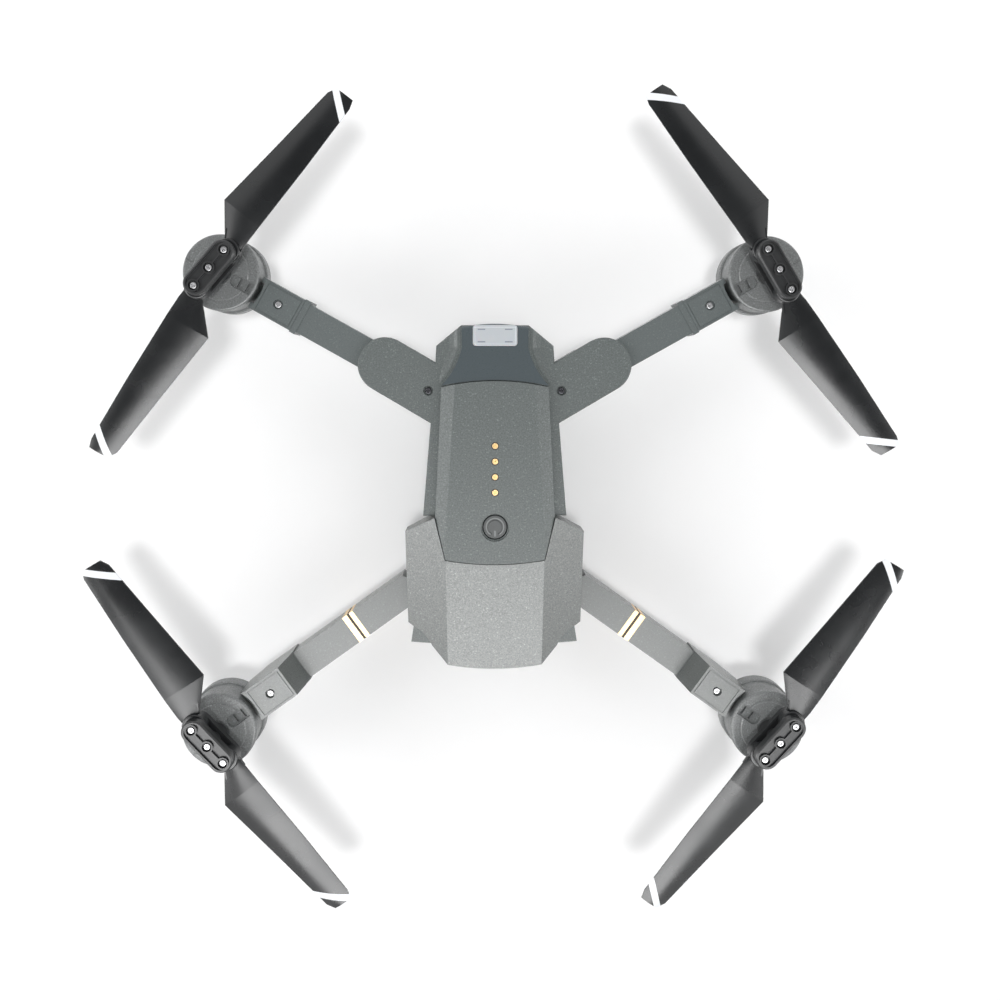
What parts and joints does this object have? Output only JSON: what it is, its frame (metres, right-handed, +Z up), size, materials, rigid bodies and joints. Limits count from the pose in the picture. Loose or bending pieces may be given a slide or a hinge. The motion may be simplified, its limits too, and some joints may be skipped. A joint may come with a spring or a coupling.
{
  "type": "folding quadcopter drone",
  "caption": "Small folding camera quadcopter: body with a sliding battery hood, tilting nose camera, folding arms with landing legs, and geared propellers with folding blades.",
  "frame": {"origin": "on the ground, under the middle of the unfolded drone", "axes": "+Z up, +Y towards the nose, +X to the drone's right"},
  "size_m": [0.2786, 0.2809, 0.054],
  "materials": {
    "shell_plastic": "fine spark-eroded grain with a faint sparkle",
    "nose_plastic": "satin, smoother than the shell",
    "hood_plastic": "fine spark-eroded grain with a faint sparkle",
    "arm_plastic": "fine grain",
    "pod_plastic": "fine grain on top, satin sides",
    "blade_plastic": "smooth satin black",
    "hub_plastic": "satin dark grey",
    "button_plastic": "satin",
    "window_plastic": "frosted translucent white",
    "camera_plastic": "semi-gloss black",
    "lens_glass": "coated glass",
    "gold_pins": "plated",
    "screw_steel": "bright zinc",
    "pin_steel": "ground",
    "motor_steel": "drawn can",
    "gear_plastic": "natural nylon",
    "board_green": "solder mask",
    "cell_foil": "foil pouch"
  },
  "bodies": {
    "fuselage": {"lower_shell": "shell_plastic", "upper_shell": "shell_plastic", "nose_cover": "nose_plastic", "nose_light_window": "window_plastic", "top_cover": "shell_plastic", "lamp_pins": "gold_pins", "circuit_board": "board_green", "shoulder_screws": "screw_steel", "belly_screws": "screw_steel", "arm_pivot_pins": "pin_steel"},
    "battery": {"battery_hood": "hood_plastic", "battery_cell": "cell_foil"},
    "camera": {"camera_housing": "camera_plastic", "camera_lens": "lens_glass"},
    "power_button": {"power_button": "button_plastic"},
    "front_left_arm": {"front_left_arm": "arm_plastic", "front_left_pod": "pod_plastic", "front_left_pod_cap": "pod_plastic", "front_left_motor": "motor_steel", "front_left_block_screw": "screw_steel"},
    "front_left_pinion": {"front_left_pinion": "gear_plastic"},
    "front_left_propeller": {"front_left_prop_shaft": "hub_plastic", "front_left_hub_plate": "hub_plastic", "front_left_hub_screws": "screw_steel"},
    "front_left_blade_a": {"front_left_blade_a": "blade_plastic"},
    "front_left_blade_b": {"front_left_blade_b": "blade_plastic"},
    "front_right_arm": {"front_right_arm": "arm_plastic", "front_right_pod": "pod_plastic", "front_right_pod_cap": "pod_plastic", "front_right_motor": "motor_steel", "front_right_block_screw": "screw_steel"},
    "front_right_pinion": {"front_right_pinion": "gear_plastic"},
    "front_right_propeller": {"front_right_prop_shaft": "hub_plastic", "front_right_hub_plate": "hub_plastic", "front_right_hub_screws": "screw_steel"},
    "front_right_blade_a": {"front_right_blade_a": "blade_plastic"},
    "front_right_blade_b": {"front_right_blade_b": "blade_plastic"},
    "rear_left_arm": {"rear_left_arm": "arm_plastic", "rear_left_pod": "pod_plastic", "rear_left_pod_cap": "pod_plastic", "rear_left_motor": "motor_steel", "rear_left_block_screw": "screw_steel"},
    "rear_left_pinion": {"rear_left_pinion": "gear_plastic"},
    "rear_left_propeller": {"rear_left_prop_shaft": "hub_plastic", "rear_left_hub_plate": "hub_plastic", "rear_left_hub_screws": "screw_steel"},
    "rear_left_blade_a": {"rear_left_blade_a": "blade_plastic"},
    "rear_left_blade_b": {"rear_left_blade_b": "blade_plastic"},
    "rear_right_arm": {"rear_right_arm": "arm_plastic", "rear_right_pod": "pod_plastic", "rear_right_pod_cap": "pod_plastic", "rear_right_motor": "motor_steel", "rear_right_block_screw": "screw_steel"},
    "rear_right_pinion": {"rear_right_pinion": "gear_plastic"},
    "rear_right_propeller": {"rear_right_prop_shaft": "hub_plastic", "rear_right_hub_plate": "hub_plastic", "rear_right_hub_screws": "screw_steel"},
    "rear_right_blade_a": {"rear_right_blade_a": "blade_plastic"},
    "rear_right_blade_b": {"rear_right_blade_b": "blade_plastic"}
  },
  "joints": [
    {"name": "battery_slide", "type": "slide", "parent": "fuselage", "child": "battery", "axis": [0, -1, 0], "range_m": [0, 0.06]},
    {"name": "camera_tilt", "type": "hinge", "parent": "fuselage", "child": "camera", "pos_m": [0, 0.0538, 0.0195], "axis": [-1, 0, 0], "range_deg": [-10, 60]},
    {"name": "power_button_press", "type": "slide", "parent": "fuselage", "child": "power_button", "axis": [0, 0, -1], "range_m": [0, 0.0006], "stiffness_N_per_m": 400, "springref_m": -0.0004},
    {"name": "front_left_arm_fold", "type": "hinge", "parent": "fuselage", "child": "front_left_arm", "pos_m": [-0.0378, 0.0478, 0.0335], "axis": [0, 0, 1], "range_deg": [0, 112]},
    {"name": "front_left_prop_spin", "type": "hinge", "parent": "front_left_arm", "child": "front_left_propeller", "pos_m": [-0.094, 0.0793, 0.04], "axis": [0, 0, 1], "continuous": true},
    {"name": "front_left_pinion_spin", "type": "hinge", "parent": "front_left_arm", "child": "front_left_pinion", "pos_m": [-0.10067, 0.08304, 0.033], "axis": [0, 0, 1], "continuous": true},
    {"name": "front_left_blade_a_fold", "type": "hinge", "parent": "front_left_propeller", "child": "front_left_blade_a", "pos_m": [-0.08896, 0.08512, 0.0488], "axis": [0, 0, -1], "range_deg": [-86.5, 93.5]},
    {"name": "front_left_blade_b_fold", "type": "hinge", "parent": "front_left_propeller", "child": "front_left_blade_b", "pos_m": [-0.09904, 0.07348, 0.0488], "axis": [0, 0, 1], "range_deg": [-99.5, 80.5]},
    {"name": "front_right_arm_fold", "type": "hinge", "parent": "fuselage", "child": "front_right_arm", "pos_m": [0.0378, 0.0478, 0.0335], "axis": [0, 0, -1], "range_deg": [0, 112]},
    {"name": "front_right_prop_spin", "type": "hinge", "parent": "front_right_arm", "child": "front_right_propeller", "pos_m": [0.094, 0.0793, 0.04], "axis": [0, 0, 1], "continuous": true},
    {"name": "front_right_pinion_spin", "type": "hinge", "parent": "front_right_arm", "child": "front_right_pinion", "pos_m": [0.10067, 0.08304, 0.033], "axis": [0, 0, 1], "continuous": true},
    {"name": "front_right_blade_a_fold", "type": "hinge", "parent": "front_right_propeller", "child": "front_right_blade_a", "pos_m": [0.09003, 0.0859, 0.0488], "axis": [0, 0, 1], "range_deg": [-94.5, 85.5]},
    {"name": "front_right_blade_b_fold", "type": "hinge", "parent": "front_right_propeller", "child": "front_right_blade_b", "pos_m": [0.09797, 0.0727, 0.0488], "axis": [0, 0, -1], "range_deg": [-87.1, 92.9]},
    {"name": "rear_left_arm_fold", "type": "hinge", "parent": "fuselage", "child": "rear_left_arm", "pos_m": [-0.028, -0.0312, 0.013], "axis": [0.8896, -0.4567, 0], "range_deg": [0, 180]},
    {"name": "rear_left_prop_spin", "type": "hinge", "parent": "rear_left_arm", "child": "rear_left_propeller", "pos_m": [-0.097, -0.0807, 0.04], "axis": [0, 0, 1], "continuous": true},
    {"name": "rear_left_pinion_spin", "type": "hinge", "parent": "rear_left_arm", "child": "rear_left_pinion", "pos_m": [-0.10322, -0.08516, 0.033], "axis": [0, 0, 1], "continuous": true},
    {"name": "rear_left_blade_a_fold", "type": "hinge", "parent": "rear_left_propeller", "child": "rear_left_blade_a", "pos_m": [-0.10223, -0.07505, 0.0488], "axis": [0, 0, -1], "range_deg": [-101.1, 78.9]},
    {"name": "rear_left_blade_b_fold", "type": "hinge", "parent": "rear_left_propeller", "child": "rear_left_blade_b", "pos_m": [-0.09177, -0.08635, 0.0488], "axis": [0, 0, 1], "range_deg": [-84.7, 95.3]},
    {"name": "rear_right_arm_fold", "type": "hinge", "parent": "fuselage", "child": "rear_right_arm", "pos_m": [0.028, -0.0312, 0.013], "axis": [0.8896, 0.4567, 0], "range_deg": [0, 180]},
    {"name": "rear_right_prop_spin", "type": "hinge", "parent": "rear_right_arm", "child": "rear_right_propeller", "pos_m": [0.097, -0.0807, 0.04], "axis": [0, 0, 1], "continuous": true},
    {"name": "rear_right_pinion_spin", "type": "hinge", "parent": "rear_right_arm", "child": "rear_right_pinion", "pos_m": [0.10322, -0.08516, 0.033], "axis": [0, 0, 1], "continuous": true},
    {"name": "rear_right_blade_a_fold", "type": "hinge", "parent": "rear_right_propeller", "child": "rear_right_blade_a", "pos_m": [0.10217, -0.075, 0.0488], "axis": [0, 0, 1], "range_deg": [-100, 80]},
    {"name": "rear_right_blade_b_fold", "type": "hinge", "parent": "rear_right_propeller", "child": "rear_right_blade_b", "pos_m": [0.09183, -0.0864, 0.0488], "axis": [0, 0, -1], "range_deg": [-84.2, 95.8]}
  ],
  "couplings": [
    {"joint": "front_left_pinion_spin", "follows": "front_left_prop_spin", "ratio": -4.6667},
    {"joint": "front_right_pinion_spin", "follows": "front_right_prop_spin", "ratio": -4.6667},
    {"joint": "rear_left_pinion_spin", "follows": "rear_left_prop_spin", "ratio": -4.6667},
    {"joint": "rear_right_pinion_spin", "follows": "rear_right_prop_spin", "ratio": -4.6667}
  ]
}
